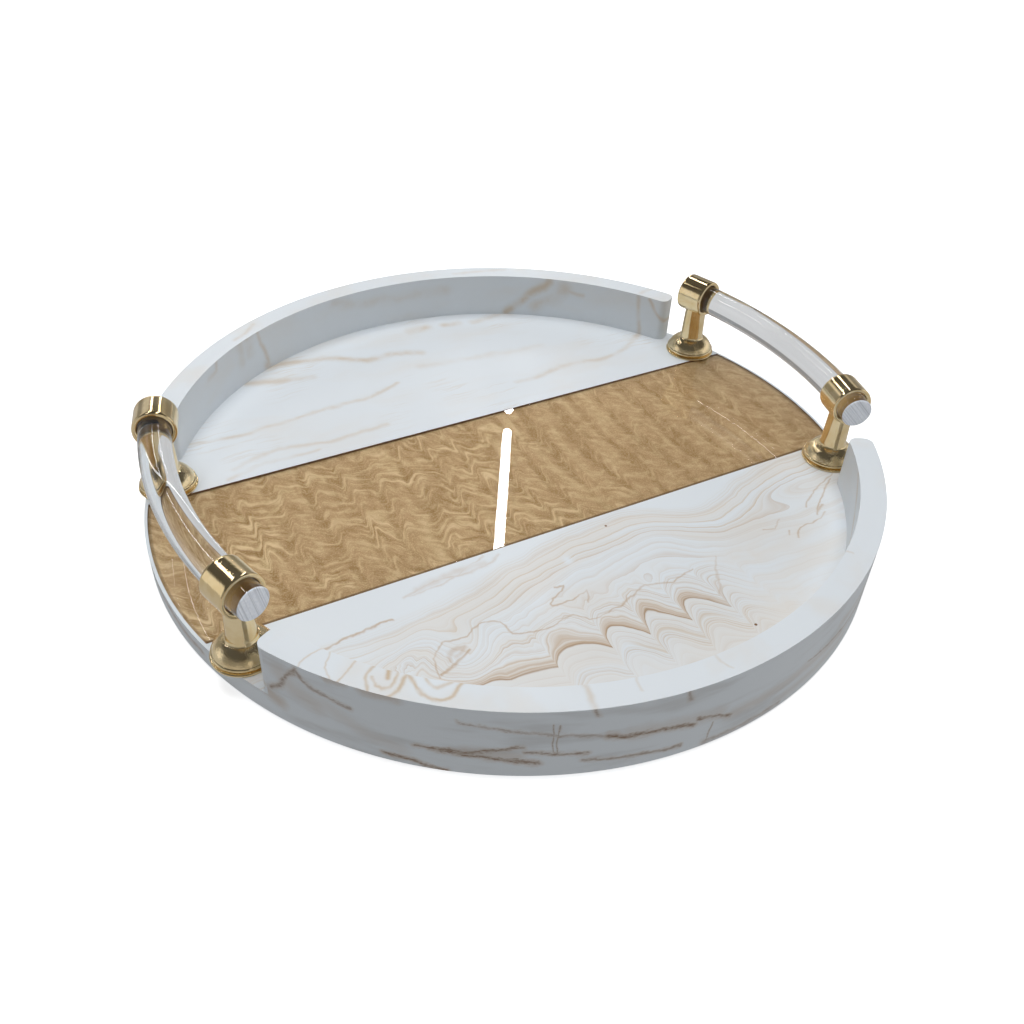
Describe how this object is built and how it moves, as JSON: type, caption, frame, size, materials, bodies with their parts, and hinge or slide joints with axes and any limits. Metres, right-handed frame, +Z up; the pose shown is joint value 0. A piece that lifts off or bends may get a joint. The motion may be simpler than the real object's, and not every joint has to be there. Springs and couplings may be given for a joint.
{
  "type": "dresser vanity tray",
  "caption": "Round marbled resin tray with two raised rims, a pearl gold band and bent clear rod handles held in brass collars on turned posts.",
  "frame": {"origin": "centre of the tray on the surface that its feet stand on", "axes": "+X along the pearl band to the right handle, +Y to the back rim, +Z up"},
  "size_m": [0.3, 0.3, 0.0502],
  "materials": {
    "resin": "white cast resin with tan and brown marbled veins, satin-smooth",
    "pearl": "pearl gold pour with fine wavy filaments",
    "clear_resin": "clear high-gloss resin",
    "acrylic": "clear polished acrylic with saw-cut ends",
    "brass": "pale gold, mirror polished",
    "steel": "zinc-plated steel",
    "dark_steel": "black oxide steel",
    "foot_rubber": "translucent soft bumper rubber"
  },
  "bodies": {
    "root": {"tray_body": "resin", "pearl_inlay": "pearl", "clear_coat": "clear_resin", "rod_left": "acrylic", "rod_right": "acrylic", "rosette_front_left": "brass", "rosette_back_left": "brass", "rosette_front_right": "brass", "rosette_back_right": "brass", "stem_front_left": "brass", "stem_back_left": "brass", "stem_front_right": "brass", "stem_back_right": "brass", "collar_front_left": "brass", "collar_back_left": "brass", "collar_front_right": "brass", "collar_back_right": "brass", "rod_grub_screws": "dark_steel", "mounting_screws": "steel", "screw_washers": "steel", "bumper_feet": "foot_rubber"}
  },
  "joints": []
}
